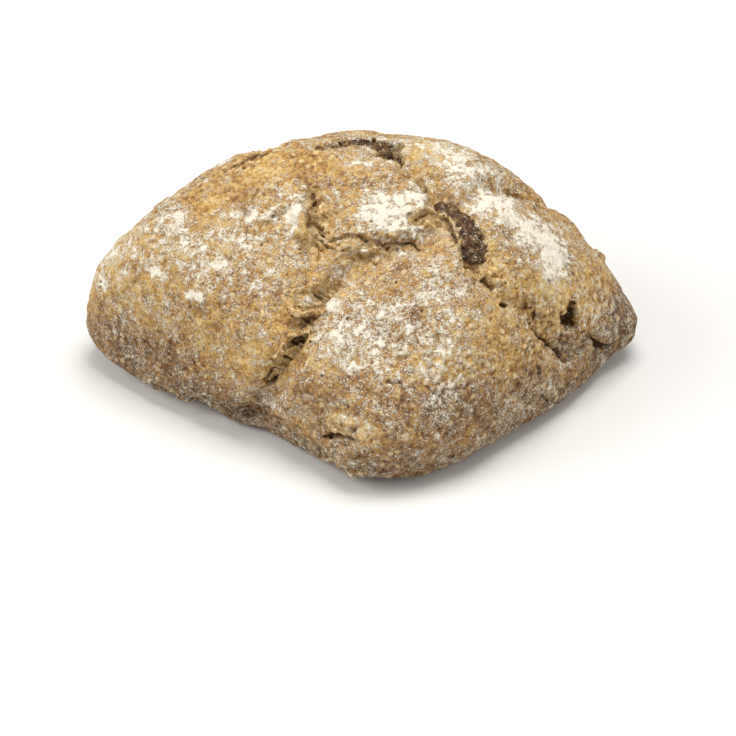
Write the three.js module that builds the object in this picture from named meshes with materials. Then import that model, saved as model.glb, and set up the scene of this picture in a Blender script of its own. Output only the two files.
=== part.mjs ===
// Rustic bread roll: dough folded from four corners into one piece, dusted with flour and baked.
// Millimetres, +Z up. The origin is on the table, under the middle of the roll's box.
import * as THREE from 'three';
import { mergeVertices } from 'three/addons/utils/BufferGeometryUtils.js';

// Overall size
const LENGTH = 147; // left corner to right corner, along X
const DEPTH = 103; // front corner to back corner, along Y
const HEIGHT = 60;

// How the dough is rounded
const HEART = 23.6; // height of the heart of the roll, from which every face is measured
const CRISPNESS = 6.5; // power of the blend between two faces: higher gives a sharper edge
const EDGE_SPLITS = 17; // splits of each edge of the starting icosahedron

// Faces that the loaf settled into: azimuth 0 points right and 90 back, tilt is above the
// horizon, both in degrees, and reach is the face's distance from the heart.
const FACES = [
  { name: 'front left side', azimuth: 236, tilt: 6, reach: 42.5 },
  { name: 'front right side', azimuth: 312, tilt: 12, reach: 46 },
  { name: 'back right side', azimuth: 60, tilt: 10, reach: 49 },
  { name: 'back left side', azimuth: 121, tilt: 9, reach: 47 },
  { name: 'left end', azimuth: 180, tilt: 8, reach: 135 },
  { name: 'right end', azimuth: 0, tilt: 0, reach: 141 },
  { name: 'front slab', azimuth: 265, tilt: 58, reach: 28 },
  { name: 'left lobe', azimuth: 183, tilt: 62, reach: 49 },
  { name: 'right lobe', azimuth: 354, tilt: 50, reach: 45 },
  { name: 'back lobe', azimuth: 86, tilt: 56, reach: 45.5 },
  { name: 'top', azimuth: 0, tilt: 90, reach: 43 },
  { name: 'underside', azimuth: 0, tilt: -90, reach: 24 },
  { name: 'left underside', azimuth: 190, tilt: -40, reach: 83 },
  { name: 'right underside', azimuth: 355, tilt: -39, reach: 77 },
  { name: 'front underside', azimuth: 270, tilt: -50, reach: 65 },
  { name: 'back underside', azimuth: 90, tilt: -48, reach: 50 },
];

// Seams where two folds of dough meet. Each runs along points on the crust and sinks into it
// by depth, fading out over width to either side.
const SEAMS = [
  {
    name: 'front left seam',
    depth: 3.5,
    width: 5,
    route: [[23, -7, 52], [5, -13, 49], [-7, -21, 43], [-14, -30, 35], [-22, -34, 24], [-29, -33, 6]],
  },
  {
    name: 'right seam',
    depth: 2.5,
    width: 5,
    route: [[23, -7, 52], [32, -18, 44], [38, -21, 39], [46, -19, 30], [53, -17, 18], [66, -7, 8]],
  },
  {
    name: 'back left seam',
    depth: 2.5,
    width: 5,
    route: [[22, 0, 55], [14, 10, 59], [4, 17, 60], [-8, 20, 60], [-26, 25, 52], [-38, 29, 30]],
  },
  {
    name: 'back right seam',
    depth: 2.5,
    width: 5,
    route: [[24, -3, 54], [30, 7, 54], [42, 16, 45], [52, 22, 28], [55, 23, 12]],
  },
];

const CRUST = { color: 0xa67c4a, roughness: 0.95, metalness: 0 };

function outward({ azimuth, tilt }) {
  const a = THREE.MathUtils.degToRad(azimuth);
  const t = THREE.MathUtils.degToRad(tilt);
  return new THREE.Vector3(Math.cos(t) * Math.cos(a), Math.cos(t) * Math.sin(a), Math.sin(t));
}

const faceDirections = FACES.map(outward);

// Distance from the heart to the crust in one direction: a polyhedron of the faces above with
// every edge and corner blended round.
function crustReach(direction) {
  let sum = 0;
  FACES.forEach(({ reach }, i) => {
    const lean = Math.max(0, direction.dot(faceDirections[i]));
    sum += (lean / reach) ** CRISPNESS;
  });
  return sum ** (-1 / CRISPNESS);
}

function distanceToRoute(point, route) {
  const nearest = new THREE.Vector3();
  let least = Infinity;
  for (let i = 1; i < route.length; i += 1) {
    const start = new THREE.Vector3(...route[i - 1]);
    const end = new THREE.Vector3(...route[i]);
    new THREE.Line3(start, end).closestPointToPoint(point, true, nearest);
    least = Math.min(least, nearest.distanceTo(point));
  }
  return least;
}

function seamDepth(point) {
  let deepest = 0;
  for (const { depth, width, route } of SEAMS) {
    const across = distanceToRoute(point, route) / width;
    deepest = Math.max(deepest, depth * Math.exp(-across * across));
  }
  return deepest;
}

// One point of the crust, flattened where the loaf stood on the oven floor.
function bakedPoint(direction) {
  const heart = new THREE.Vector3(0, 0, HEART);
  const crust = direction.clone().multiplyScalar(crustReach(direction)).add(heart);
  crust.addScaledVector(direction, -seamDepth(crust));
  crust.z = Math.max(crust.z, 0);
  return crust;
}

function breadRollGeometry() {
  const ball = new THREE.IcosahedronGeometry(1, EDGE_SPLITS);
  ball.deleteAttribute('normal');
  ball.deleteAttribute('uv');
  const geometry = mergeVertices(ball);
  const places = geometry.getAttribute('position');
  const spread = new THREE.Vector3(LENGTH, DEPTH, HEIGHT);
  const direction = new THREE.Vector3();
  for (let i = 0; i < places.count; i += 1) {
    direction.fromBufferAttribute(places, i).multiply(spread).normalize();
    places.setXYZ(i, ...bakedPoint(direction));
  }
  fitToBox(geometry);
  geometry.computeVertexNormals();
  return geometry;
}

// Brings the baked shape to its exact length, depth and height, and puts the origin under it.
function fitToBox(geometry) {
  geometry.computeBoundingBox();
  const { min, max } = geometry.boundingBox;
  geometry.translate(-(min.x + max.x) / 2, -(min.y + max.y) / 2, -min.z);
  geometry.scale(LENGTH / (max.x - min.x), DEPTH / (max.y - min.y), HEIGHT / (max.z - min.z));
}

const breadRoll = new THREE.Mesh(breadRollGeometry(), new THREE.MeshStandardMaterial(CRUST));
breadRoll.name = 'bread_roll';

const part = new THREE.Group();
part.add(breadRoll);

export default part;
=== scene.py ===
"""Rustic wholemeal bread roll: a folded lump of dough that tore along its seams in the oven.

The roll is one continuous skin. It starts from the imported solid, and the dough is then worked
in millimetres: seams, tears, holes, baked-in fruit, bran and flour. Each step says what it does
to the real crust.
"""

import itertools
import math

import bpy
import numpy as np
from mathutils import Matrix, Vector
from mathutils.bvhtree import BVHTree
from mathutils.kdtree import KDTree


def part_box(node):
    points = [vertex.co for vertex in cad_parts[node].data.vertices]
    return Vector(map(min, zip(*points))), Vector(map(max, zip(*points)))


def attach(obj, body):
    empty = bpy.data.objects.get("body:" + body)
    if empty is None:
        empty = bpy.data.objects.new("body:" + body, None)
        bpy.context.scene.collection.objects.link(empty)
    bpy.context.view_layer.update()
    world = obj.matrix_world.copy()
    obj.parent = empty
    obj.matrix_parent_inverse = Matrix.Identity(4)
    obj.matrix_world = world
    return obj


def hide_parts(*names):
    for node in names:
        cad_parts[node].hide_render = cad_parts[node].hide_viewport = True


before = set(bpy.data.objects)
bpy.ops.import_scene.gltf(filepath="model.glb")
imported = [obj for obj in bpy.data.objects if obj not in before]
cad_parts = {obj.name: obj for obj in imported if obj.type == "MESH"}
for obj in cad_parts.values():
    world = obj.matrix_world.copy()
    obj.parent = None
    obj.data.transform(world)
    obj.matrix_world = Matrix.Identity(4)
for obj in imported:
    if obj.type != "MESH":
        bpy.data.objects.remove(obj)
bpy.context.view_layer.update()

MM = 0.001
LOW, HIGH = (np.array(corner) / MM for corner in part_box("bread_roll"))
SIZE = HIGH - LOW
HEART = np.array([0.0, 0.0, 0.4 * SIZE[2]])  # middle of the dough, where every ray starts
MESH_STEP = 0.42  # width of one quad of skin, fine enough for a flake of bran
STITCH = 0.5  # how far apart a route is set down on the skin
SCATTER = (73856093, 19349663, 83492791)  # large primes, so that grains side by side are unlike

# ---------------------------------------------------------------------------------------------
# Places on the crust, in millimetres, +X to the slim corner and -Y to the front corner
# ---------------------------------------------------------------------------------------------

# Folds: soft valleys where two lobes of dough meet. depth and width in mm. In the tables further
# down, half is half the width, in mm too.
FOLDS = {
    "front left": dict(route=[(20, -6, 50), (10, -10, 47), (0, -13, 46), (-7, -19, 41), (-12, -27, 35),
                              (-18, -31, 26), (-24, -32, 17), (-29, -30, 8)], depth=1.3, width=2.6),
    "right": dict(route=[(27, -12, 47), (31, -17, 43), (37, -20, 38), (43, -18, 33), (47, -18, 26),
                         (54, -15, 16), (60, -8, 16), (65, -6, 9)], depth=1.1, width=2.2),
    "back left": dict(route=[(21, 0, 55), (16, 8, 57), (10, 15, 58), (4, 20, 59), (-6, 23, 58),
                             (-20, 22, 57), (-32, 27, 44), (-39, 29, 28)], depth=1.2, width=2.4),
    "back right": dict(route=[(26, 0, 54), (31, 9, 53), (42, 17, 44), (52, 22, 28), (55, 22, 12)],
                       depth=1.2, width=2.4),
    "left lobe top": dict(route=[(-16, 17, 59), (-20, 15, 59), (-23, 12, 58), (-25, 9, 57), (-27, 5, 55),
                                 (-29, 2, 54), (-29, -2, 52)], depth=1.0, width=1.3),
    "under the rolled edge": dict(route=[(-24, -6, 51), (-20, -3, 53), (-16, -1, 54)], depth=0.5,
                                  width=1.1),
    "left wrinkle": dict(route=[(-30, -28, 22), (-42, -23, 17), (-55, -14, 14)], depth=0.5, width=1.6),
    "back wrinkle": dict(route=[(-34, 38, 30), (-20, 45, 22), (-4, 49, 14)], depth=0.7, width=1.6),
    "back belly fold": dict(route=[(6, 47, 30), (20, 44, 24), (34, 38, 15)], depth=0.8, width=2.0),
    "slab wrinkle": dict(route=[(-22, -35, 15), (-14, -40, 18), (-8, -42, 24)], depth=0.5, width=1.4),
}

# Swells: slow bulges, or hollows where the height is below 0, that give each lobe its own outline.
SWELLS = [
    dict(route=[(-2, -48, 6), (-3, -47, 12)], height=1.4, width=5.5),
    dict(route=[(-4, -48, 5), (-3, -49, 6)], height=1.0, width=2.5),
    dict(route=[(10, -51, 9), (22, -46, 8)], height=-1.5, width=4.5),
    dict(route=[(-42, -22, 6), (-36, -26, 6), (-30, -29, 7), (-20, -36, 7), (-12, -41, 7)], height=-1.9,
         width=4.5),
    dict(route=[(-71, 0, 10), (-64, -6, 6), (-56, -12, 6)], height=1.3, width=4.5),
    dict(route=[(73, 6, 12), (73, 5, 8)], height=1.7, width=5.0),
    dict(route=[(62, -6, 8), (58, -12, 6)], height=-0.6, width=4.0),
    dict(route=[(-38, 8, 52), (-28, 10, 56)], height=-0.8, width=5.0),
    dict(route=[(-41, -23, 6), (-35, -27, 6), (-29, -30, 6)], height=-1.5, width=3.8),
    dict(route=[(46, 16, 43), (54, 15, 35)], height=1.1, width=5.0),
    dict(route=[(-10, 31, 58), (8, 32, 58)], height=-2.0, width=6.0),
    dict(route=[(-8, 13, 60), (5, 13, 60)], height=-1.0, width=4.5),
    dict(route=[(44, 26, 38), (50, 22, 34)], height=0.8, width=5.0),
    dict(route=[(-20, 46, 14), (0, 49, 10)], height=1.0, width=7.0),
]

# Steps: places where the skin split and one side stands over the torn crumb like a low cliff.
# The crumb lies on the right of the route, as seen by someone walking down it. widths of the
# crumb from start to end, bank is the share of the width before its floor climbs again, and lip
# is how far the split edge stands up, as a share of the depth.
STEPS = {
    "front left tear": dict(route=[(-6, -19, 41), (-8, -21, 39), (-10, -24, 37), (-12, -26, 35),
                                   (-14, -29, 33), (-16, -31, 30), (-18, -31, 27), (-20, -31, 23),
                                   (-22, -31, 20)], widths=(8.0, 9.0, 8.0, 5.5, 2.6), depth=1.4),
    "tail of the tear": dict(route=[(-22, -31, 20), (-25, -31, 18), (-28, -30, 14)], widths=(1.8, 1.0),
                             depth=0.9),
    "top void": dict(route=[(10, 14, 58), (6, 18, 59), (2, 20, 59), (-2, 20, 59), (-5, 19, 60),
                            (-9, 19, 60)], widths=(1.6, 6.5, 9.0, 8.5, 5.0), depth=4.6, bank=0.9,
                     lip=0.0),
    "shelf": dict(route=[(-7, -9, 51), (-3, -8, 51), (-1, -8, 51), (1, -8, 51), (3, -9, 50)],
                  widths=(1.0, 2.6, 3.4), depth=1.3),
    "second shelf": dict(route=[(7, -9, 48), (10, -8, 49), (13, -8, 49), (16, -9, 48)],
                         widths=(1.0, 1.8, 1.0), depth=1.0),
    "corner cleft": dict(route=[(64, -6, 9), (62, -7, 14), (60, -8, 17)], widths=(1.4, 3.0, 1.6),
                         depth=2.4),
    "back left split": dict(route=[(-36, 28, 38), (-30, 27, 46), (-23, 25, 54)], widths=(1.5, 3.5, 2.0),
                            depth=1.3),
    "back right split": dict(route=[(38, 15, 48), (45, 19, 39), (52, 22, 27)], widths=(1.5, 3.0, 1.5),
                             depth=1.4),
}

# Bowls: shallow places where the skin came away and shows lumpy crumb.
BOWLS = {
    "left hollow": dict(route=[(-12, 2, 56), (-10, -3, 54), (-9, -8, 51), (-11, -12, 48)], half=3.0,
                        depth=1.5),
    "crumb below the shelf": dict(route=[(-3, -12, 47), (2, -12, 46), (7, -11, 47)], half=2.2, depth=0.3),
    "brown hollow": dict(route=[(14, -4, 53), (17, -3, 53), (20, -3, 52)], half=2.0, depth=1.2),
    "fruit pocket": dict(route=[(21, 1, 54), (24, -2, 52), (27, -5, 51), (29, -9, 49), (30, -12, 46)],
                         half=4.0, depth=1.5),
    "trail": dict(route=[(9, 14, 58), (13, 11, 58), (15, 9, 57), (17, 6, 56)], half=1.0, depth=0.7),
    "right seam": dict(route=[(29, -14, 45), (33, -17, 42), (37, -19, 38), (41, -18, 36)], half=1.9,
                       depth=0.6),
    "left back ledge": dict(route=[(-32, 17, 55), (-26, 19, 57), (-20, 20, 58), (-13, 22, 58)], half=2.4,
                            depth=0.7),
    "front flakes": dict(route=[(-6, -44, 18), (-3, -46, 18), (1, -48, 17)], half=2.8, depth=0.1),
}

# Holes: deep openings inside the tears and pricked through the crust.
HOLES = {
    "dome": dict(route=[(-15, -21, 41), (-13, -21, 41), (-11, -20, 41)], half=2.2, depth=1.0),
    "brown cave": dict(route=[(-17, -26, 36), (-15, -26, 36), (-13, -25, 37)], half=1.6, depth=1.3),
    "dark cave": dict(route=[(-19, -29, 31), (-17, -29, 32), (-15, -28, 33)], half=0.9, depth=1.6),
    "small cave": dict(route=[(-19, -30, 28), (-18, -31, 28)], half=0.6, depth=1.6),
    "slit": dict(route=[(-24, -31, 22), (-22, -31, 25)], half=0.7, depth=2.4),
    "second slit": dict(route=[(-24, -31, 20), (-22, -31, 21)], half=0.5, depth=1.6),
    "hollow back": dict(route=[(-12, 1, 56), (-12, 3, 56)], half=0.8, depth=1.2),
    "hollow pit": dict(route=[(-12, -5, 53), (-10, -6, 52)], half=0.7, depth=1.5),
    "hollow side": dict(route=[(-10, -7, 52), (-9, -8, 51)], half=0.6, depth=1.4),
    "hollow foot": dict(route=[(-12, -10, 50), (-10, -11, 49)], half=0.7, depth=1.1),
    "under the shelf": dict(route=[(0, -8, 51), (2, -9, 50)], half=0.6, depth=1.5),
    "brown corner": dict(route=[(4, -9, 49), (7, -9, 48)], half=0.7, depth=0.9),
    "arch hole": dict(route=[(15, -4, 53), (17, -3, 54)], half=0.6, depth=1.5),
    "arch foot": dict(route=[(15, -5, 51), (16, -5, 52)], half=0.7, depth=0.9),
    "crevice by the fruit": dict(route=[(22, -2, 53), (23, -4, 51), (24, -7, 50), (25, -9, 49)], half=0.5,
                                 depth=2.0),
    "under the fruit": dict(route=[(28, -13, 46), (29, -13, 46), (31, -12, 46)], half=0.9, depth=3.0),
    "void left": dict(route=[(-10, 23, 58), (-6, 23, 58)], half=1.9, depth=3.0),
    "void back": dict(route=[(-3, 27, 59), (1, 28, 59)], half=1.5, depth=1.8),
    "void tail": dict(route=[(5, 17, 59), (7, 16, 59), (9, 15, 58)], half=0.7, depth=1.8),
    "trail pit": dict(route=[(12, 11, 58), (13, 11, 58)], half=0.7, depth=0.8),
    "trail hole": dict(route=[(15, 8, 57), (16, 7, 57)], half=0.6, depth=1.0),
    "trail end": dict(route=[(17, 6, 56), (17, 5, 56)], half=0.5, depth=1.0),
    "first of the row": dict(route=[(32, -16, 43), (34, -17, 41)], half=0.9, depth=2.2),
    "second of the row": dict(route=[(37, -20, 38), (38, -19, 37)], half=0.8, depth=2.2),
    "dimple": dict(route=[(42, -17, 35), (43, -17, 35)], half=1.0, depth=0.9),
    "pinhole left": dict(route=[(30, -17, 44), (30, -16, 44)], half=0.4, depth=1.2),
    "pinhole right": dict(route=[(35, -15, 43), (34, -15, 43)], half=0.5, depth=1.0),
    "triangle": dict(route=[(53, -12, 26), (56, -11, 24), (56, -10, 27), (53, -12, 26)], half=1.8,
                     depth=5.0),
    "triangle top": dict(route=[(55, -10, 28), (56, -9, 29)], half=1.1, depth=4.0),
    "slot": dict(route=[(49, -10, 37), (49, -11, 36)], half=0.5, depth=1.8),
    "low pit": dict(route=[(46, -24, 20), (46, -24, 18)], half=0.6, depth=1.5),
    "lower slit": dict(route=[(47, -25, 12), (49, -23, 8)], half=0.4, depth=1.2),
    "cleft hole": dict(route=[(62, -6, 13), (64, -5, 11), (66, -4, 10)], half=1.4, depth=3.2),
    "back dimple": dict(route=[(27, 15, 57), (29, 15, 57)], half=0.9, depth=0.8),
    "ledge pit": dict(route=[(-17, 16, 59), (-16, 17, 59)], half=0.6, depth=1.6),
    "ledge groove": dict(route=[(-20, 21, 58), (-17, 22, 57), (-14, 22, 57)], half=1.0, depth=1.6),
    "pit by the lump": dict(route=[(-12, -1, 54), (-11, 1, 55)], half=1.3, depth=1.6),
    "back pinhole": dict(route=[(-26, 42, 30), (-25, 42, 31)], half=0.6, depth=1.2),
    "back slot": dict(route=[(26, 41, 28), (29, 40, 27)], half=0.6, depth=1.6),
}

# Cracks: hairlines in the dry skin.
CRACKS = {
    "right seam crack": dict(route=[(45, -16, 33), (45, -17, 30), (44, -19, 30), (47, -18, 26),
                                    (49, -17, 23), (52, -15, 18), (54, -15, 15), (57, -12, 14)],
                             half=0.65, depth=1.8),
    "curved crack": dict(route=[(-10, -43, 13), (-7, -45, 15), (-5, -46, 16), (-2, -47, 16),
                                (1, -48, 16)], half=0.65, depth=2.0),
    "first flake crack": dict(route=[(-5, -45, 20), (-4, -46, 18), (-6, -45, 17)], half=0.45, depth=1.1),
    "second flake crack": dict(route=[(-2, -46, 20), (-1, -47, 18), (0, -48, 17)], half=0.45, depth=1.1),
    "crack beside the lump": dict(route=[(-13, 0, 55), (-13, -4, 53), (-13, -8, 51)], half=0.6,
                                  depth=1.6),
    "hub crack": dict(route=[(-12, -8, 51), (-9, -10, 50), (-6, -11, 48), (-4, -11, 48)], half=0.5,
                      depth=1.4),
    "crack under the second lip": dict(route=[(6, -9, 49), (9, -9, 49), (12, -8, 49), (16, -9, 49)],
                                       half=0.5, depth=1.4),
    "trail crack": dict(route=[(9, 15, 58), (12, 11, 58), (14, 9, 57), (17, 5, 56)], half=0.5, depth=1.3),
    "ledge crack": dict(route=[(-34, 15, 54), (-28, 18, 56), (-24, 19, 57), (-17, 20, 58)], half=0.5,
                        depth=1.3),
    "left lobe crack": dict(route=[(-29, 1, 54), (-27, 5, 55), (-25, 8, 57), (-22, 11, 58)], half=0.4,
                            depth=0.9),
    "short crack": dict(route=[(4, -41, 29), (8, -41, 29), (11, -41, 29)], half=0.4, depth=0.9),
    "rim crack": dict(route=[(-26, -31, 12), (-20, -35, 12), (-14, -39, 13)], half=0.35, depth=0.8),
    "back crack": dict(route=[(-12, 45, 28), (-9, 46, 32), (-4, 46, 32), (0, 45, 36), (7, 45, 35)],
                       half=0.45, depth=1.1),
    "left end crack": dict(route=[(-66, 8, 30), (-64, 12, 26), (-60, 14, 25), (-58, 18, 20)], half=0.35,
                           depth=0.8),
}

# Ridges: rolled edges, membranes and lumps of dough that stand up. height above what is there.
RIDGES = {
    "rolled edge": dict(route=[(-25, -4, 52), (-22, -2, 53), (-19, 0, 54), (-16, 1, 55), (-14, 2, 56)],
                        height=0.9, half=1.2, torn=0.0),
    "cream lump": dict(route=[(-16, -2, 54), (-15, -5, 52), (-15, -7, 51)], height=2.0, half=2.0,
                       torn=0.2),
    "leaf": dict(route=[(-11, -3, 53), (-9, -2, 54), (-7, -2, 54)], height=1.4, half=0.8, torn=0.9),
    "void lip": dict(route=[(-7, 16, 60), (-4, 17, 60), (-1, 19, 59), (2, 18, 59), (5, 16, 59)],
                     height=0.3, half=1.0, torn=0.0),
    "arch": dict(route=[(14, -3, 54), (15, -2, 54), (18, -1, 55), (20, -2, 54), (21, -4, 52)], height=0.8,
                 half=0.6, torn=0.8),
    "strip between the fruit": dict(route=[(23, -2, 52), (24, -4, 51), (25, -7, 50)], height=1.4,
                                    half=0.5, torn=1.0),
    "pale flake": dict(route=[(1, -11, 47), (4, -10, 48), (5, -11, 46), (4, -12, 46)], height=1.3,
                       half=0.9, torn=1.0),
    "first pale crumb": dict(route=[(-11, -12, 49), (-11, -13, 48)], height=0.7, half=0.6, torn=1.0),
    "second pale crumb": dict(route=[(17, 3, 56), (19, 3, 56)], height=0.7, half=0.8, torn=0.6),
    "membrane": dict(route=[(-17, -25, 39), (-15, -25, 38), (-13, -24, 38), (-9, -23, 38)], height=1.2,
                     half=0.8, torn=1.0),
    "second membrane": dict(route=[(-18, -28, 34), (-16, -28, 34), (-12, -27, 35)], height=1.4, half=0.5,
                            torn=1.0),
    "arch of the dome": dict(route=[(-16, -20, 42), (-13, -19, 43), (-10, -18, 43), (-6, -19, 42)],
                             height=0.7, half=0.6, torn=0.9),
    "torn lump": dict(route=[(-21, -30, 29), (-20, -30, 30), (-19, -29, 32)], height=1.2, half=0.9,
                      torn=1.0),
    "left flake": dict(route=[(-60, -5, 34), (-58, -6, 36)], height=0.6, half=1.0, torn=0.3),
    "first flange": dict(route=[(-60, -8, 8), (-52, -15, 7), (-44, -20, 7), (-39, -24, 7)], height=0.8,
                         half=0.8, torn=0.1),
    "second flange": dict(route=[(-36, -26, 8), (-30, -30, 7), (-22, -35, 7), (-14, -40, 7),
                                 (-8, -44, 6)], height=0.8, half=0.7, torn=0.1),
    "curled flake": dict(route=[(-47, -18, 6), (-45, -19, 5)], height=1.4, half=0.7, torn=0.4),
    "second curled flake": dict(route=[(-41, -22, 6), (-38, -24, 6)], height=1.1, half=0.6, torn=0.4),
    "nodule left": dict(route=[(-52, 8, 47), (-50, 9, 49)], height=1.3, half=1.7, torn=0.2),
    "nodule back left": dict(route=[(-31, 19, 55), (-27, 20, 57)], height=0.9, half=1.4, torn=0.5),
    "nodule back": dict(route=[(-20, 28, 54), (-18, 29, 54)], height=0.8, half=1.5, torn=0.3),
    "nodule back right": dict(route=[(45, 21, 42), (46, 20, 41)], height=1.1, half=1.4, torn=0.5),
    "golden ledge": dict(route=[(-36, 15, 52), (-30, 18, 56), (-24, 20, 57), (-18, 20, 58)], height=0.9,
                         half=1.1, torn=0.6),
    "second lip": dict(route=[(8, -7, 50), (11, -6, 51), (14, -7, 50)], height=0.9, half=0.8, torn=0.7),
    "nodule on the back": dict(route=[(10, 44, 38), (12, 44, 37)], height=1.1, half=1.5, torn=0.3),
    "first front flake": dict(route=[(-5, -45, 20), (-2, -46, 20)], height=0.9, half=1.2, torn=1.0),
    "second front flake": dict(route=[(0, -47, 18), (2, -47, 17)], height=0.9, half=1.1, torn=1.0),
    "third front flake": dict(route=[(-7, -43, 19), (-6, -44, 20)], height=0.7, half=0.9, torn=1.0),
    "nodule right": dict(route=[(63, 12, 30), (64, 12, 28)], height=1.2, half=1.2, torn=0.1),
}

# Fruit pieces that show in the tears: long axis, half thickness and how far each stands proud.
FRUIT = {
    "top piece": dict(route=[(-3, 24, 59), (0, 25, 59), (3, 23, 59), (6, 20, 59)], half=2.8, top=-1.4),
    "upper lobe": dict(route=[(22, 1, 54), (24, 0, 53), (26, -2, 52)], half=2.3, top=-0.4),
    "body": dict(route=[(27, -3, 51), (28, -5, 50), (29, -8, 49), (30, -10, 48)], half=3.7, top=-0.1),
}

# The last three tables hold patches: a route, the reach to each side of it in mm, and an amount.

# Flour: the share of the crust that each patch adds to or takes from the even dusting.
FLOUR = [
    ([(4, -2, 54), (9, -4, 54), (13, -5, 53)], 5.0, 0.78),
    ([(14, 2, 57), (16, 5, 57)], 3.5, 0.5),
    ([(24, 12, 57), (32, 8, 54)], 7.0, 0.14),
    ([(36, 4, 52), (41, 1, 49), (46, -1, 45), (50, -3, 41)], 7.0, 0.6),
    ([(41, 9, 49), (50, 4, 40)], 6.0, 0.2),
    ([(2, 27, 58), (20, 20, 58), (32, 14, 54)], 8.0, 0.25),
    ([(-4, -28, 38), (4, -30, 37), (16, -26, 41), (24, -20, 44)], 9.0, 0.34),
    ([(0, -38, 30), (12, -38, 30), (24, -32, 32)], 8.0, 0.15),
    ([(-44, -15, 37), (-41, -16, 37)], 1.5, 0.8),
    ([(-55, -4, 39), (-52, -9, 39)], 2.6, 0.48),
    ([(-37, -12, 44), (-34, -12, 45)], 1.8, 0.5),
    ([(-54, -11, 32)], 2.3, 0.55),
    ([(-35, 2, 52), (-30, -2, 51)], 2.6, 0.45),
    ([(-50, 10, 49)], 2.0, 0.45),
    ([(-59, 10, 42)], 2.2, 0.4),
    ([(-61, -4, 35)], 2.2, 0.3),
    ([(-31, -6, 49), (-27, -9, 48)], 3.0, 0.25),
    ([(-24, -3, 52), (-19, 0, 54), (-14, 2, 56)], 1.4, 0.55),
    ([(-16, -2, 54), (-16, -7, 51)], 2.0, 1.0),
    ([(14, -4, 53), (20, -3, 52)], 2.2, -0.5),
    ([(9, 22, 58), (16, 21, 58), (24, 17, 57)], 6.0, 0.15),
    ([(1, -11, 47), (5, -11, 46)], 1.4, 0.3),
    ([(-12, -22, 41), (-9, -21, 41)], 1.6, 0.5),
    ([(-6, 12, 60), (0, 13, 59), (5, 12, 59)], 1.3, 0.3),
    ([(-4, 24, 59), (5, 21, 59)], 3.6, -0.3),
    ([(-38, 4, 52), (-28, 12, 56), (-16, 18, 58)], 8.0, -0.4),
    ([(14, 42, 42), (26, 36, 42)], 7.0, 0.3),
    ([(-14, 42, 40), (-12, 42, 41)], 1.7, 0.7),
    ([(24, 42, 26)], 1.8, 0.6),
    ([(-48, 28, 24)], 1.8, 0.6),
    ([(-36, 34, 34), (-24, 40, 34)], 8.0, -0.2),
    ([(-14, 10, 59), (-6, 6, 59)], 6.0, -0.12),
    ([(-30, -20, 34), (-40, -22, 22)], 9.0, -0.12),
    ([(-6, -44, 20), (2, -47, 18)], 2.8, 0.25),
    ([(-3, -12, 47), (4, -12, 46), (10, -10, 48)], 2.4, 0.3),
    ([(-52, 4, 46), (-44, -6, 44), (-34, -12, 43)], 9.0, 0.3),
    # Partly flour, partly painted sheen: a pale band along the upper left rim, as flour dust looks whiter in
    # grazing light
    ([(-66, 2, 30), (-60, 10, 38), (-48, 18, 48), (-38, 22, 52)], 4.5, 0.3),
    ([(-34, -26, 20), (-24, -32, 14)], 6.0, 0.2),
    ([(30, -14, 46), (34, -14, 44)], 4.0, -0.25),
    ([(44, -12, 40), (54, -8, 30)], 7.0, -0.03),
    ([(28, -30, 32), (38, -26, 28)], 7.0, -0.12),
]

# Toast and shade: how much browner (or, below 0, paler and more golden) each place is made. Mostly the
# oven's browning; the darker patches at the slim nose and low on the sides are partly painted shade, where
# those faces turn away from the light.
TOAST_AND_SHADE = [
    ([(69, 3, 16), (72, 4, 9)], 7.0, 0.4),
    ([(-34, 8, 54), (-24, 14, 58), (-12, 16, 59)], 8.0, -0.12),
    ([(-66, -4, 24), (-60, -10, 16), (-45, -20, 14)], 8.0, 0.2),
    ([(0, -40, 24), (14, -42, 22), (30, -38, 18)], 9.0, 0.2),
    ([(-6, -44, 20), (2, -47, 18)], 3.0, -0.4),
    ([(-60, 0, 38), (-45, -10, 38)], 12.0, -0.08),
    ([(0, -28, 38), (16, -24, 42)], 9.0, 0.12),
    ([(20, -36, 32), (34, -28, 32), (44, -20, 30)], 8.0, -0.1),
    ([(-20, 44, 28), (4, 46, 26)], 9.0, 0.15),
    ([(28, -14, 46), (36, -16, 42), (44, -14, 38)], 4.0, -0.2),
    ([(48, -9, 37), (58, -8, 26)], 6.0, -0.25),
    ([(-70, 2, 22), (-66, -1, 32)], 7.0, -0.2),
    ([(9, 22, 58), (24, 17, 57)], 7.0, -0.3),
]

# Ruggedness: where the skin is not smooth but a crust of crumbs and little flakes.
RUGGED = [
    ([(28, -14, 46), (36, -17, 41), (44, -16, 34), (50, -13, 27), (58, -9, 18)], 6.0, 0.9),
    ([(-11, -8, 50), (0, -10, 49), (10, -7, 50), (20, -4, 52)], 4.0, 0.8),
    ([(-34, 14, 54), (-24, 20, 57), (-15, 24, 57), (-6, 25, 58)], 5.0, 0.9),
    ([(14, -38, 32), (24, -35, 32), (34, -29, 31), (44, -22, 26)], 9.0, 0.85),
    ([(52, -4, 38), (56, -8, 30), (62, 0, 26), (66, 2, 18)], 8.0, 0.6),
    ([(-7, -44, 18), (1, -48, 18)], 3.0, 0.6),
    ([(8, 16, 58), (15, 9, 57), (19, 2, 55)], 2.5, 0.8),
    ([(20, 26, 56), (40, 20, 44), (52, 20, 30)], 6.0, 0.5),
    ([(-30, 38, 34), (-10, 46, 34), (10, 46, 34)], 7.0, 0.5),
    ([(30, 40, 14), (10, 48, 12)], 5.0, 0.6),
    ([(-62, -6, 8), (-40, -23, 7), (-20, -37, 7), (-4, -47, 7)], 3.0, 0.7),
]

# ---------------------------------------------------------------------------------------------
# Tools for working the dough
# ---------------------------------------------------------------------------------------------


def ease(low, high, value):
    """0 below low and 1 above high, turning smoothly between them."""
    t = np.clip((value - low) / (high - low), 0.0, 1.0)
    return t * t * (3 - 2 * t)


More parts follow.
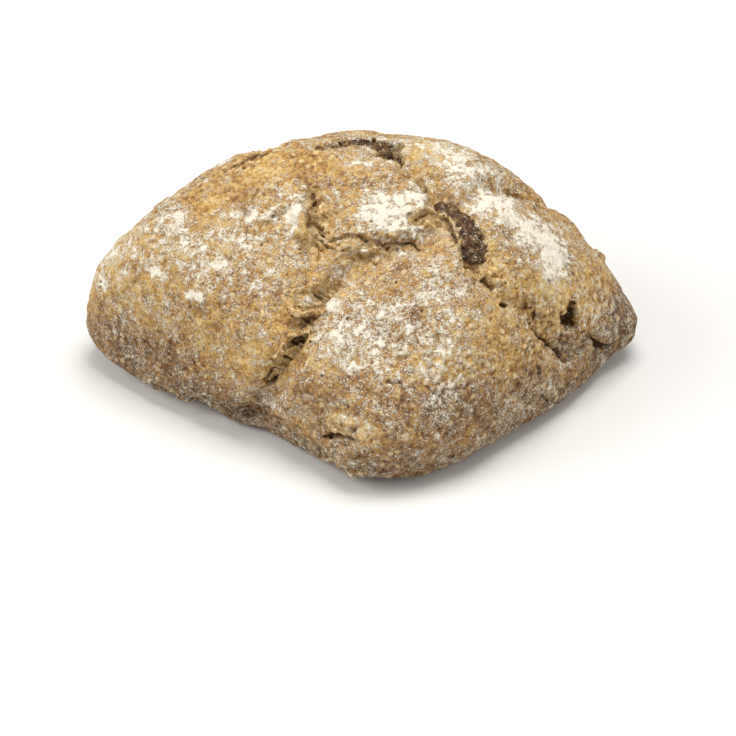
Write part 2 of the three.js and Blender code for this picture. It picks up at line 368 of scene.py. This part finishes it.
def noise(points, grain, seed):
    """Smooth noise from about -1 to 1 whose bumps lie about grain mm apart."""
    dice = np.random.default_rng(seed)
    order = dice.permutation(256)
    slopes = dice.normal(size=(256, 3))
    slopes /= np.linalg.norm(slopes, axis=1)[:, None]
    place = points / grain + dice.uniform(0, 256, 3)
    cell = np.floor(place).astype(int)
    inner = place - cell
    fade = inner**3 * (inner * (inner * 6 - 15) + 10)
    total = np.zeros(len(points))
    for corner in itertools.product((0, 1), repeat=3):
        x, y, z = ((cell + corner) & 255).T
        slope = slopes[order[(order[(order[x] + y) & 255] + z) & 255]]
        weight = np.where(corner, fade, 1 - fade).prod(1)
        total += weight * ((inner - corner) * slope).sum(1)
    return total * 1.6


def rough(points, grain, seed, layers=3):
    """Noise with finer layers on it, each half as wide and half as high."""
    parts = [noise(points, grain / 2**i, seed + i) / 2**i for i in range(layers)]
    return sum(parts) / sum(0.5**i for i in range(layers))


def crumbs(points, size, seed):
    """Distance to the nearest of scattered grains about size mm apart, in sizes, and its own number."""
    place = points / size
    cell = np.floor(place).astype(int)
    nearest = np.full(len(points), 9.0)
    own = np.zeros(len(points))
    for offset in itertools.product((-1, 0, 1), repeat=3):
        home = cell + offset
        mixed = (home * SCATTER).sum(1) + seed * 7919
        shake = [np.modf(np.sin(mixed % 65521 * k) * 43758.5453)[0] for k in (0.37, 0.73, 1.31)]
        grain = home + 0.5 + 0.5 * np.stack(shake, 1)
        gap = np.linalg.norm(place - grain, axis=1)
        closer = gap < nearest
        nearest[closer] = gap[closer]
        own[closer] = np.abs(shake[0][closer])
    return nearest, own


def box_skin(counts):
    """Corners and quads of a box cut into counts squares, with each quad corner's place on a flat
    chart. The top and sides are charted at full scale, and the underside smaller.
    """
    nx, ny, nz = counts
    gap = 3
    across = nx + nz + 2 * gap
    charts = {  # (axis, end): (left, bottom, scale, turned)
        (2, 1): (0, 0, 1.0, False),
        (0, 1): (nx + gap, 0, 1.0, True),
        (1, 0): (0, ny + gap, 1.0, True),
        (1, 1): (0, ny + nz + 2 * gap, 1.0, True),
        (0, 0): (nx + gap, ny + gap, 1.0, True),
        (2, 0): (across, 0, 0.6, True),
    }
    side = across + 0.6 * ny + gap
    codes, flats = [], []
    stride = np.array([1, nx + 1, (nx + 1) * (ny + 1)])
    for (axis, end), (left, bottom, scale, turned) in charts.items():
        b, c = (axis + 1) % 3, (axis + 2) % 3
        i, j = np.meshgrid(np.arange(counts[b]), np.arange(counts[c]), indexing="ij")
        turn = [(0, 0), (1, 0), (1, 1), (0, 1)][:: 1 if end else -1]
        for step in turn:
            place = np.zeros((i.size, 3), int)
            place[:, axis] = end * counts[axis]
            place[:, b] = i.ravel() + step[0]
            place[:, c] = j.ravel() + step[1]
            codes.append(place @ stride)
            u, v = (place[:, c], place[:, b]) if turned else (place[:, b], place[:, c])
            flats.append(np.stack([left + u * scale, bottom + v * scale], 1) / side)
    per_face = [np.stack(codes[k : k + 4], 1) for k in range(0, 24, 4)]
    charted = [np.stack(flats[k : k + 4], 1) for k in range(0, 24, 4)]
    used, quads = np.unique(np.concatenate(per_face), return_inverse=True)
    corners = np.stack([used % (nx + 1), used // (nx + 1) % (ny + 1), used // stride[2]], 1)
    return corners / counts, quads.reshape(-1, 4), np.concatenate(charted)


class Dough:
    """The skin of the roll: its points in mm, its quads, and which points are neighbours."""

    def __init__(self, counts):
        box, self.quads, self.chart = box_skin(counts)
        self.points = self.press_onto_solid(LOW + box * SIZE)
        edges = np.concatenate([self.quads[:, [i, (i + 1) % 4]] for i in range(4)])
        order = np.argsort(edges[:, 0], kind="stable")
        first = np.searchsorted(edges[order, 0], np.arange(len(self.points) + 1))
        slot = first[:-1, None] + np.arange(4)
        slot = np.where(slot < first[1:, None], slot, first[:-1, None])
        self.neighbours = edges[order, 1][slot]

    def press_onto_solid(self, box_points):
        """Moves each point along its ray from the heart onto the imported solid."""
        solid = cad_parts["bread_roll"]
        places = [tuple(solid.matrix_world @ v.co / MM) for v in solid.data.vertices]
        tree = BVHTree.FromPolygons(places, [tuple(p.vertices) for p in solid.data.polygons])
        heart = Vector(HEART)
        rays = (box_points - HEART) / np.linalg.norm(box_points - HEART, axis=1)[:, None]
        return np.array([tuple(tree.ray_cast(heart, Vector(ray))[0]) for ray in rays])

    def smoothed(self, values, rounds):
        for _ in range(rounds):
            values = 0.4 * values + 0.6 * values[self.neighbours].mean(1)
        return values

    def normals(self):
        a, b, c, d = (self.points[self.quads[:, i]] for i in range(4))
        faces = np.repeat(np.cross(c - a, d - b), 4, axis=0)
        corners, count = self.quads.ravel(), len(self.points)
        total = np.stack([np.bincount(corners, faces[:, k], count) for k in range(3)], 1)
        return total / np.linalg.norm(total, axis=1)[:, None]

    def even_out(self, rounds, where):
        """Slides points along the skin so that the quads on steep walls are as small as the rest."""
        for _ in range(rounds):
            step = self.points[self.neighbours].mean(1) - self.points
            out = self.normals()
            along = step - (step * out).sum(1)[:, None] * out
            self.points = self.points + 0.6 * where[:, None] * along


class Skin:
    """One moment of the dough, as a base that routes are laid on."""

    def __init__(self, dough):
        self.points = dough.points.copy()
        self.out = dough.normals()
        self.tree = KDTree(len(self.points))
        for i, point in enumerate(self.points):
            self.tree.insert(point, i)
        self.tree.balance()

    def lay(self, route):
        """Stitches along the route, each set down on the skin, and the way to its left."""
        route = np.array(route, float)
        if len(route) == 1:
            route = np.array([route[0], route[0] + (0.1, 0, 0)])
        run = np.r_[0, np.cumsum(np.linalg.norm(np.diff(route, axis=0), axis=1))]
        stops = np.linspace(0, run[-1], max(3, int(run[-1] / STITCH)))
        places = np.stack([np.interp(stops, run, route[:, k]) for k in range(3)], 1)
        who = [self.tree.find(place)[1] for place in places]
        places = self.points[who]
        places[1:-1] = (places[:-2] + 2 * places[1:-1] + places[2:]) / 4
        left = np.cross(self.out[who], np.gradient(places, axis=0))
        left /= np.maximum(np.linalg.norm(left, axis=1), 1e-6)[:, None]
        return places, left

    def near(self, route, reach, ragged, grain, seed):
        """The points within reach mm of a route: who they are, their distance from it, how far
        to its left they lie, the way to its left, and the share of it they have passed. ragged
        moves its edges in and out by about that much, in waves grain mm long.
        """
        places, left = self.lay(route)
        low, high = places.min(0) - reach, places.max(0) + reach
        who = np.flatnonzero(((self.points > low) & (self.points < high)).all(1))
        there = self.points[who]
        there = there + ragged * np.stack([rough(there, grain, seed + k) for k in range(3)], 1)
        gaps = np.stack([np.linalg.norm(there - place, axis=1) for place in places], 1)
        nearest = gaps.argmin(1)
        distance = gaps[np.arange(len(who)), nearest]
        beside = ((there - places[nearest]) * left[nearest]).sum(1)
        keep = distance < reach
        passed = nearest[keep] / (len(places) - 1)
        return who[keep], distance[keep], beside[keep], left[nearest[keep]], passed

    def spread(self, patches, ragged, seed):
        """The patches' amounts added up over the skin, each fading out at a ragged edge."""
        total = np.zeros(len(self.points))
        for i, (route, reach, amount) in enumerate(patches):
            who, distance, _, _, _ = self.near(route, 2.4 * reach, ragged * reach, 0.9 * reach, seed + 9 * i)
            total[who] += amount * (1 - ease(0.1, 1.6, distance / reach))
        return total


# ---------------------------------------------------------------------------------------------
# Working the dough
# ---------------------------------------------------------------------------------------------


def proof(dough):
    """Softens the solid's facets and gives the lobes the slow unevenness of risen dough."""
    reach = np.linalg.norm(dough.points - HEART, axis=1)
    rays = (dough.points - HEART) / reach[:, None]
    dough.points = HEART + rays * dough.smoothed(reach, 36)[:, None]
    out = dough.normals()
    swell = 0.9 * noise(dough.points, 26, 11) + 0.5 * noise(dough.points, 11, 12)
    swell += 0.45 * rough(dough.points, 5.5, 13)
    lying = dough.points / (16, 16, 3.5)
    low = 1 - ease(8, 30, dough.points[:, 2])
    swell += 0.35 * low * noise(lying, 1, 14)
    dough.points += out * swell[:, None]


def raise_swells(skin, rise):
    for seed, bulge in enumerate(SWELLS):
        who, distance, _, _, _ = skin.near(bulge["route"], 3 * bulge["width"], 1.5, 6.0, 50 + 9 * seed)
        rise[who] += bulge["height"] * np.exp(-((distance / bulge["width"]) ** 2))


def sink_folds(skin, rise):
    """A soft valley along each fold, with the dough pushed up a little on both sides."""
    for seed, fold in enumerate(FOLDS.values()):
        who, distance, _, _, _ = skin.near(fold["route"], 4 * fold["width"], 1.6, 3.2, 100 + 9 * seed)
        across = distance / fold["width"]
        rise[who] -= fold["depth"] * np.exp(-(across**2))
        rise[who] += 0.35 * fold["depth"] * np.exp(-((across - 1.9) ** 2) * 2)


def split_steps(skin, rise, slide, torn):
    """Drops the crumb on one side of each split below the edge, with strands across it, and pulls
    the edge out over it as a lip.
    """
    for seed, step in enumerate(STEPS.values()):
        widest = max(step["widths"])
        who, distance, beside, left, passed = skin.near(step["route"], widest + 3, 0.45, 2.2, 200 + 9 * seed)
        width = np.interp(passed, np.linspace(0, 1, len(step["widths"])), step["widths"])
        width *= 1 + 0.35 * noise(skin.points[who], 3.0, 230 + seed)
        beyond = np.sqrt(np.maximum(distance**2 - beside**2, 0))
        ends = 1 - ease(0.3, 1.2, beyond)
        open_side = -beside
        drop = ease(-0.35, 0.45, open_side) * ends
        floor = drop * (1 - ease(step.get("bank", 0.1) * width, width, open_side))
        edge = drop * (1 - ease(0.85 * width, 1.05 * width, open_side))
        lip = np.exp(-(((open_side + 0.9) / 0.75) ** 2)) * ends
        length = np.linalg.norm(np.diff(step["route"], axis=0), axis=1).sum()
        crossing = np.stack([passed * length / 1.4, open_side / 5, 0 * passed], 1)
        fibres = 0.5 - np.abs(noise(crossing, 1.0, 90 + seed)) * 2
        rise[who] += step.get("lip", 0.3) * step["depth"] * lip
        rise[who] -= step["depth"] * (0.75 * floor + 0.25 * edge)
        rise[who] += (0.9 * fibres + 0.6 * rough(skin.points[who], 2.0, 31)) * edge
        slide[who] -= (0.45 * step["depth"] * lip)[:, None] * left
        torn[who] = np.maximum(torn[who], edge)


def scoop_bowls(skin, rise, torn):
    """Takes the skin off shallow bowls, and leaves clumps of crumb in them."""
    for seed, bowl in enumerate(BOWLS.values()):
        half = bowl["half"]
        who, distance, _, _, _ = skin.near(bowl["route"], 2.4 * half + 1.5, 0.6 * half, 0.8 + half,
                                           250 + 9 * seed)
        inside = 1 - ease(0.5, 1.2, distance / half)
        clumps, _ = crumbs(skin.points[who], 2.2, 33)
        rise[who] += inside * (1.3 * (0.45 - clumps) - bowl["depth"])
        rise[who] += 0.9 * inside * rough(skin.points[who], 2.4, 34)
        torn[who] = np.maximum(torn[who], inside)


def raise_ridges(skin, rise, torn):
    for seed, ridge in enumerate(RIDGES.values()):
        half = ridge["half"]
        who, distance, _, _, _ = skin.near(ridge["route"], 2.5 * half + 1, 0.35 * half + 0.15, 2.0,
                                           600 + 9 * seed)
        inside = 1 - ease(0.45, 1.3, distance / half)
        rise[who] += ridge["height"] * inside
        torn[who] += (ridge["torn"] - torn[who]) * ease(0.15, 0.6, inside)


def sink_holes(skin, rise):
    for seed, hole in enumerate(HOLES.values()):
        half = hole["half"]
        who, distance, _, _, _ = skin.near(hole["route"], 2.6 * half + 1, 0.38 * half + 0.15, 1.0 + half,
                                           400 + 9 * seed)
        rise[who] -= hole["depth"] * (1 - ease(0.65, 1.1, distance / half))


def open_cracks(skin, rise, cracked):
    """Parts the skin along each crack, widest at the middle and closing towards its ends."""
    for seed, crack in enumerate(CRACKS.values()):
        half = crack["half"]
        who, distance, _, _, passed = skin.near(crack["route"], 6 * half, 0.6, 2.0, 700 + 9 * seed)
        gape = half * (1 - 0.75 * np.abs(2 * passed - 1) ** 2) * (1 + 0.4 * noise(skin.points[who], 2.5, 71))
        parted = 1 - ease(0.3, 1.4, distance / gape)
        rise[who] -= crack["depth"] * parted
        cracked[who] = np.maximum(cracked[who], parted)


def lay_fruit(skin, rise, fruit):
    """Fills each pocket up to the wrinkled top of its fruit piece."""
    for seed, piece in enumerate(FRUIT.values()):
        half = piece["half"]
        who, distance, _, _, _ = skin.near(piece["route"], 1.5 * half, 0.3 * half, 3.0, 900 + 9 * seed)
        wrinkle = np.abs(noise(skin.points[who], 3.2, 41 + seed)) * 1.5
        level = piece["top"] - 0.35 * half * (distance / half) ** 4 - wrinkle
        shows = level > rise[who] - 0.1
        rise[who] = np.where(shows, np.maximum(level, rise[who]), rise[who])
        fruit[who] = np.maximum(fruit[who], shows * (1 - ease(0.95, 1.2, distance / half)))


def fold_and_tear(dough):
    """Works every fold, tear, hole, crack, ridge and fruit piece into the dough, and returns the
    masks that the finish needs.
    """
    skin = Skin(dough)
    count = len(dough.points)
    rise, torn, fruit, cracked = np.zeros((4, count))
    slide = np.zeros((count, 3))
    rugged = np.clip(skin.spread(RUGGED, 0.5, 150), 0, 1)
    raise_swells(skin, rise)
    sink_folds(skin, rise)
    split_steps(skin, rise, slide, torn)
    scoop_bowls(skin, rise, torn)
    raise_ridges(skin, rise, torn)
    sink_holes(skin, rise)
    open_cracks(skin, rise, cracked)
    lay_fruit(skin, rise, fruit)
    depth = np.maximum(0, -rise)
    dough.points = dough.points + skin.out * rise[:, None] + slide
    dough.even_out(24, ease(0.2, 1.2, depth))
    # hollow: painted shade, strongest where the skin sank deep and along open cracks, as shade falls there
    hollow = np.maximum(ease(2.0, 4.6, depth), 0.85 * cracked) * (1 - fruit)
    return torn, hollow, fruit, rugged


def bake_crust(dough, torn, fruit, rugged):
    """Raises the fine relief of the baked skin: blisters, bran flakes, pores and rough crumb. Returns the
    bran and how far each point stands above the skin around it, in mm.
    """
    out = dough.normals()
    places = dough.points
    skin = (1 - torn) * (1 - fruit)
    flakes, own = crumbs(places, 1.9, 21)
    bran = (own > 0.84 - 0.4 * rugged) * (1 - ease(0.18, 0.46, flakes + 0.28 * noise(places, 1.1, 20)))
    relief = 0.19 * rough(places, 1.5, 22, 2) * skin + 0.14 * bran * skin
    relief += (0.27 + 0.3 * rugged) * rough(places, 3.5, 26, 2) * skin
    clumps, _ = crumbs(places, 2.6, 27)
    relief += rugged * skin * (0.8 * (0.4 - clumps) + 0.35 * noise(places, 1.3, 28))
    pores, own = crumbs(places, 3.1, 29)
    relief -= 0.5 * (own > 0.78 - 0.2 * rugged) * (1 - ease(0.07, 0.2, pores)) * skin
    relief += 0.32 * rough(places, 1.4, 24, 2) * torn * (1 - fruit)
    relief += 0.08 * noise(places, 1.0, 25) * fruit
    dough.points = places + out * relief[:, None]
    return bran * (1 - fruit), relief - dough.smoothed(relief, 10)


def set_down(dough):
    """Flattens the skin where the roll stands."""
    dough.points[:, 2] = np.maximum(dough.points[:, 2], 0.0)


def dust_toast_and_shade(dough, torn, hollow, fruit, proud):
    """The share of each point under flour, how brown it is, and how grey its film is. The brown is partly
    the oven's browning and partly painted shade: darker towards the floor, darker in the low points between
    the bumps and lighter on their tops. Points that stand proud hold flour, and the low ones between them
    stay bare.
    """
    skin = Skin(dough)
    up, height = skin.out[:, 2], skin.points[:, 2]
    cloud = noise(skin.points, 14, 51)
    flour = 0.33 + 0.14 * ease(-0.2, 0.9, up) + 0.24 * cloud + 0.36 * rough(skin.points, 5, 52, 2)
    flour += skin.spread(FLOUR, 0.5, 300) - 0.32 * torn * (1 - fruit) - 0.45 * hollow
    flour += np.clip(1.3 * proud, -0.35, 0.3)
    flour = np.where(fruit > 0.3, np.minimum(flour, 0.12 + 0.25 * proud), flour)
    # Oven browning plus painted shade: the darkening over the lowest 30 mm is partly real browning and
    # partly painted shade, the extra darkening over the lowest 13 mm is painted shade at the foot, and the
    # clip on proud paints the low points between bumps darker and their tops lighter.
    toast_and_shade = 0.45 + 0.40 * (1 - ease(2, 30, height)) + 0.20 * noise(skin.points, 11, 53)
    toast_and_shade += 0.28 * (1 - ease(0, 13, height)) - np.clip(1.5 * proud, -0.35, 0.3)
    toast_and_shade += 0.20 * noise(skin.points, 4, 54) + skin.spread(TOAST_AND_SHADE, 0.4, 500)
    film = 0.65 * (1 - ease(4, 30, height)) + 0.2 + 0.4 * noise(skin.points, 8, 55)
    return np.clip(flour, 0, 1.3), np.clip(toast_and_shade, 0, 1), np.clip(film, 0, 1)


# ---------------------------------------------------------------------------------------------
# Finishes
# ---------------------------------------------------------------------------------------------


def paint(hex_colour):
    """An sRGB hex colour as linear red, green, blue and alpha."""
    parts = [int(hex_colour[i : i + 2], 16) / 255 for i in (1, 3, 5)]
    return [c / 12.92 if c <= 0.04045 else ((c + 0.055) / 1.055) ** 2.4 for c in parts] + [1.0]


def put(tree, kind, inputs=None, **settings):
    """Adds one node, with its settings, and its inputs set to values or linked to sockets."""
    node = tree.nodes.new(kind)
    for name, value in settings.items():
        setattr(node, name, value)
    for name, value in (inputs or {}).items():
        if isinstance(value, bpy.types.NodeSocket):
            tree.links.new(value, node.inputs[name])
        else:
            node.inputs[name].default_value = value
    return node


def baked_crust():
    """Baked wholemeal crust under hand-thrown flour: a dry, fully matte skin. Every bran grain has
    a brown or gold of its own, and the flour lies over them as single grains, clumps and a grey
    film. The grains are drawn at 0.4 mm, coarser than real flour, as it lies in little clumps.
    """
    material = bpy.data.materials.new("baked_wholemeal_crust_floured")
    material.use_nodes = True
    tree = material.node_tree
    tree.nodes.clear()
    flat = put(tree, "ShaderNodeTexCoord").outputs["Object"]
    stir = put(tree, "ShaderNodeTexNoise", {"Vector": flat, "Scale": 1 / (0.9 * MM), "Detail": 1.0})
    swirl = put(tree, "ShaderNodeVectorMath", {0: stir.outputs["Color"], 1: (0.5 * MM,) * 3},
                operation="MULTIPLY")
    place = put(tree, "ShaderNodeVectorMath", {0: flat, 1: swirl.outputs[0]}).outputs[0]

    def mask(name):
        return put(tree, "ShaderNodeAttribute", attribute_name=name).outputs["Fac"]

    def sums(kind, a, b):
        return put(tree, "ShaderNodeMath", {0: a, 1: b}, operation=kind).outputs[0]

    def drift(size_mm, detail, roughness=0.5):
        return put(tree, "ShaderNodeTexNoise", {"Vector": flat, "Scale": 1 / (size_mm * MM),
                                                "Detail": detail, "Roughness": roughness}).outputs["Fac"]

    def between(value, low, high, to_low=0.0, to_high=1.0):
        ranged = put(tree, "ShaderNodeMapRange", {"Value": value, "From Min": low, "From Max": high,
                                                  "To Min": to_low, "To Max": to_high})
        return ranged.outputs["Result"]

    def grains(size_mm):
        """Distance from the nearest grain's middle, in grains, and two numbers of that grain's own."""
        cells = put(tree, "ShaderNodeTexVoronoi", {"Vector": place, "Scale": 1 / (size_mm * MM)})
        parts = put(tree, "ShaderNodeSeparateColor", {0: cells.outputs["Color"]})
        return cells.outputs["Distance"], parts.outputs[0], parts.outputs[1]

    def mixed(amount, below, above):
        node = put(tree, "ShaderNodeMix", {"Factor": amount}, data_type="RGBA")
        for socket, colour in ((node.inputs[6], below), (node.inputs[7], above)):
            if isinstance(colour, str):
                socket.default_value = paint(colour)
            else:
                tree.links.new(colour, socket)
        return node.outputs[2]

    def shades(value, stops):
        """A run of colours, each at its place from 0 to 1."""
        node = put(tree, "ShaderNodeValToRGB", {"Fac": value})
        ramp = node.color_ramp
        while len(ramp.elements) < len(stops):
            ramp.elements.new(0.5)
        for element, (at, colour) in zip(ramp.elements, stops):
            element.position = at
            element.color = paint(colour)
        return node.outputs["Color"]

    # Crust: each grain of bran toasted its own brown, around the brown of its place, which also carries
    # painted shade: darker low on the roll and in the pits between bumps
    _, own, second = grains(0.62)
    shade = sums("ADD", sums("MULTIPLY", own, 0.36), sums("MULTIPLY", drift(1.9, 3, 0.65), 0.8))
    shade = sums("SUBTRACT", shade, sums("ADD", sums("MULTIPLY", mask("toast_and_shade"), 0.7), -0.26))
    crust = shades(shade, [(0.05, "#4C331E"), (0.28, "#7F5A36"), (0.48, "#A67D49"), (0.66, "#C29B58"),
                           (0.9, "#DEC084")])
    crust = mixed(sums("MULTIPLY", mask("bran"), 0.8), crust, "#E2C993")
    # Torn crumb: lighter gold, browner in patches
    crumb = shades(sums("ADD", sums("MULTIPLY", own, 0.4), sums("MULTIPLY", drift(1.6, 3), 0.7)),
                   [(0.25, "#8C6233"), (0.45, "#BC935A"), (0.62, "#D6B882"), (0.8, "#EBDAB2")])
    surface = mixed(sums("MULTIPLY", mask("torn"), 0.9), crust, crumb)
    # Painted shade: deep holes and open cracks are painted dark brown, as shade falls in them
    surface = mixed(mask("hollow"), surface, "#573B1F")
    fruit_skin = shades(sums("ADD", sums("MULTIPLY", second, 0.3), sums("MULTIPLY", drift(2.0, 3), 0.7)),
                        [(0.3, "#2C190C"), (0.52, "#5A3F28"), (0.75, "#97784F")])
    surface = mixed(mask("fruit"), surface, fruit_skin)
    # Flour: a grey film, a thin veil, single grains, and solid where it fell thick
    haze = sums("MULTIPLY", mask("film"), between(drift(2.2, 3, 0.6), 0.3, 0.7))
    haze = sums("MULTIPLY", haze, sums("SUBTRACT", 1.0, sums("MAXIMUM", mask("hollow"), mask("fruit"))))
    surface = mixed(sums("MULTIPLY", haze, 0.5), surface, "#A8957B")
    clumped = sums("ADD", mask("flour"), sums("MULTIPLY", sums("SUBTRACT", drift(2.2, 3, 0.65), 0.5), 2.2))
    veil = sums("MULTIPLY", between(drift(0.5, 2, 0.7), 0.38, 0.62), between(clumped, 0.05, 0.9))
    veil = sums("MULTIPLY", veil, between(mask("fruit"), 0.0, 1.0, 0.34, 0.05))
    surface = mixed(veil, surface, "#DCCDB1")
    away, own_flour, strength = grains(0.42)
    present = between(sums("SUBTRACT", sums("MULTIPLY", clumped, 0.76), own_flour), -0.1, 0.1)
    wide = sums("ADD", 0.45, sums("MULTIPLY", clumped, 0.3))
    cover = sums("MULTIPLY", present, between(sums("SUBTRACT", wide, away), -0.05, 0.2))
    cover = sums("MULTIPLY", cover, between(strength, 0.0, 1.0, 0.6, 1.0))
    thick = sums("ADD", clumped, sums("MULTIPLY", sums("SUBTRACT", drift(0.85, 3, 0.65), 0.5), 1.5))
    cover = sums("MAXIMUM", cover, between(thick, 0.75, 1.05))
    surface = mixed(sums("MULTIPLY", cover, 0.92), surface, "#F0E8D5")

    grit = sums("ADD", sums("MULTIPLY", cover, 0.5), sums("MULTIPLY", own, 0.35))
    grit = sums("ADD", grit, sums("MULTIPLY", drift(0.7, 2, 0.6), 0.7))
    relief = put(tree, "ShaderNodeBump", {"Strength": 1.0, "Distance": 0.6 * MM, "Height": grit})
    shader = put(tree, "ShaderNodeBsdfPrincipled", {
        "Base Color": surface,
        "Roughness": sums("SUBTRACT", 0.93, sums("MULTIPLY", mask("fruit"), 0.35)),
        "IOR": 1.45,
        "Specular IOR Level": 0.25,
        "Subsurface Weight": 0.06,
        "Subsurface Radius": (1.0, 0.55, 0.3),
        "Subsurface Scale": 1.2 * MM,
        "Normal": relief.outputs["Normal"],
    })
    put(tree, "ShaderNodeOutputMaterial", {"Surface": shader.outputs["BSDF"]})
    return material


def plain_floor():
    """Matt painted board: an even pale ground with no pattern of its own."""
    material = bpy.data.materials.new("pale_matt_board")
    material.use_nodes = True
    shader = material.node_tree.nodes["Principled BSDF"]
    shader.inputs["Base Color"].default_value = paint("#E6E4E0")
    shader.inputs["Roughness"].default_value = 0.9
    shader.inputs["Specular IOR Level"].default_value = 0.1
    return material


# ---------------------------------------------------------------------------------------------
# The roll
# ---------------------------------------------------------------------------------------------


def bread_roll():
    dough = Dough(np.round(SIZE / MESH_STEP).astype(int))
    proof(dough)
    torn, hollow, fruit, rugged = fold_and_tear(dough)
    bran, proud = bake_crust(dough, torn, fruit, rugged)
    set_down(dough)
    flour, toast_and_shade, film = dust_toast_and_shade(dough, torn, hollow, fruit, proud)

    mesh = bpy.data.meshes.new("baked_roll")
    mesh.from_pydata((dough.points * MM).tolist(), [], dough.quads.tolist())
    mesh.polygons.foreach_set("use_smooth", np.ones(len(dough.quads), bool))
    masks = dict(torn=torn, hollow=hollow, fruit=fruit, bran=bran, flour=flour, toast_and_shade=toast_and_shade, film=film)
    for name, values in masks.items():
        mesh.attributes.new(name, "FLOAT", "POINT").data.foreach_set("value", values.astype(np.float32))
    chart = mesh.uv_layers.new(name="OFBake")
    chart.data.foreach_set("uv", dough.chart.astype(np.float32).ravel())
    mesh.materials.append(baked_crust())
    roll = bpy.data.objects.new("baked_roll", mesh)
    bpy.context.scene.collection.objects.link(roll)
    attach(roll, "root")
    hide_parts("bread_roll")
    return roll


# ---------------------------------------------------------------------------------------------
# Studio
# ---------------------------------------------------------------------------------------------

ELEVATION = math.radians(39.5)
CAMERA_DISTANCE = 0.744
CAMERA_AIM = Vector((0.0021, 0.0007, -0.0003))


def studio():
    bpy.ops.mesh.primitive_plane_add(size=6, location=(0, 0, 0))
    floor = bpy.context.object
    floor.name = "floor"
    floor.data.materials.append(plain_floor())

    lens = bpy.data.cameras.new("camera")
    lens.lens = 135
    lens.sensor_width = 36
    lens.clip_start = 0.05
    camera = bpy.data.objects.new("camera", lens)
    bpy.context.scene.collection.objects.link(camera)
    back = Vector((0, -math.cos(ELEVATION), math.sin(ELEVATION)))
    camera.location = CAMERA_AIM + back * CAMERA_DISTANCE
    camera.rotation_euler = (-back).to_track_quat("-Z", "Y").to_euler()
    bpy.context.scene.camera = camera

    for name, place, size, power in (
        ("overhead softbox", (0.08, 0.1, 0.85), 0.5, 5.9),
        ("left softbox", (-0.8, -0.1, 0.6), 0.5, 4.9),
        ("right softbox", (0.8, -0.3, 0.5), 0.5, 1.6),
        ("front fill", (-0.2, -0.9, 0.9), 0.9, 1.2),
    ):
        lamp = bpy.data.lights.new(name, "AREA")
        lamp.size = size
        lamp.energy = power
        light = bpy.data.objects.new(name, lamp)
        light.location = place
        light.rotation_euler = Vector(place).to_track_quat("Z", "Y").to_euler()
        bpy.context.scene.collection.objects.link(light)

    world = bpy.data.worlds.new("studio")
    world.use_nodes = True
    world.node_tree.nodes["Background"].inputs["Color"].default_value = paint("#FFFFFF")
    world.node_tree.nodes["Background"].inputs["Strength"].default_value = 0.33
    bpy.context.scene.world = world
    bpy.context.scene.view_settings.view_transform = "Standard"


studio()
bread_roll()
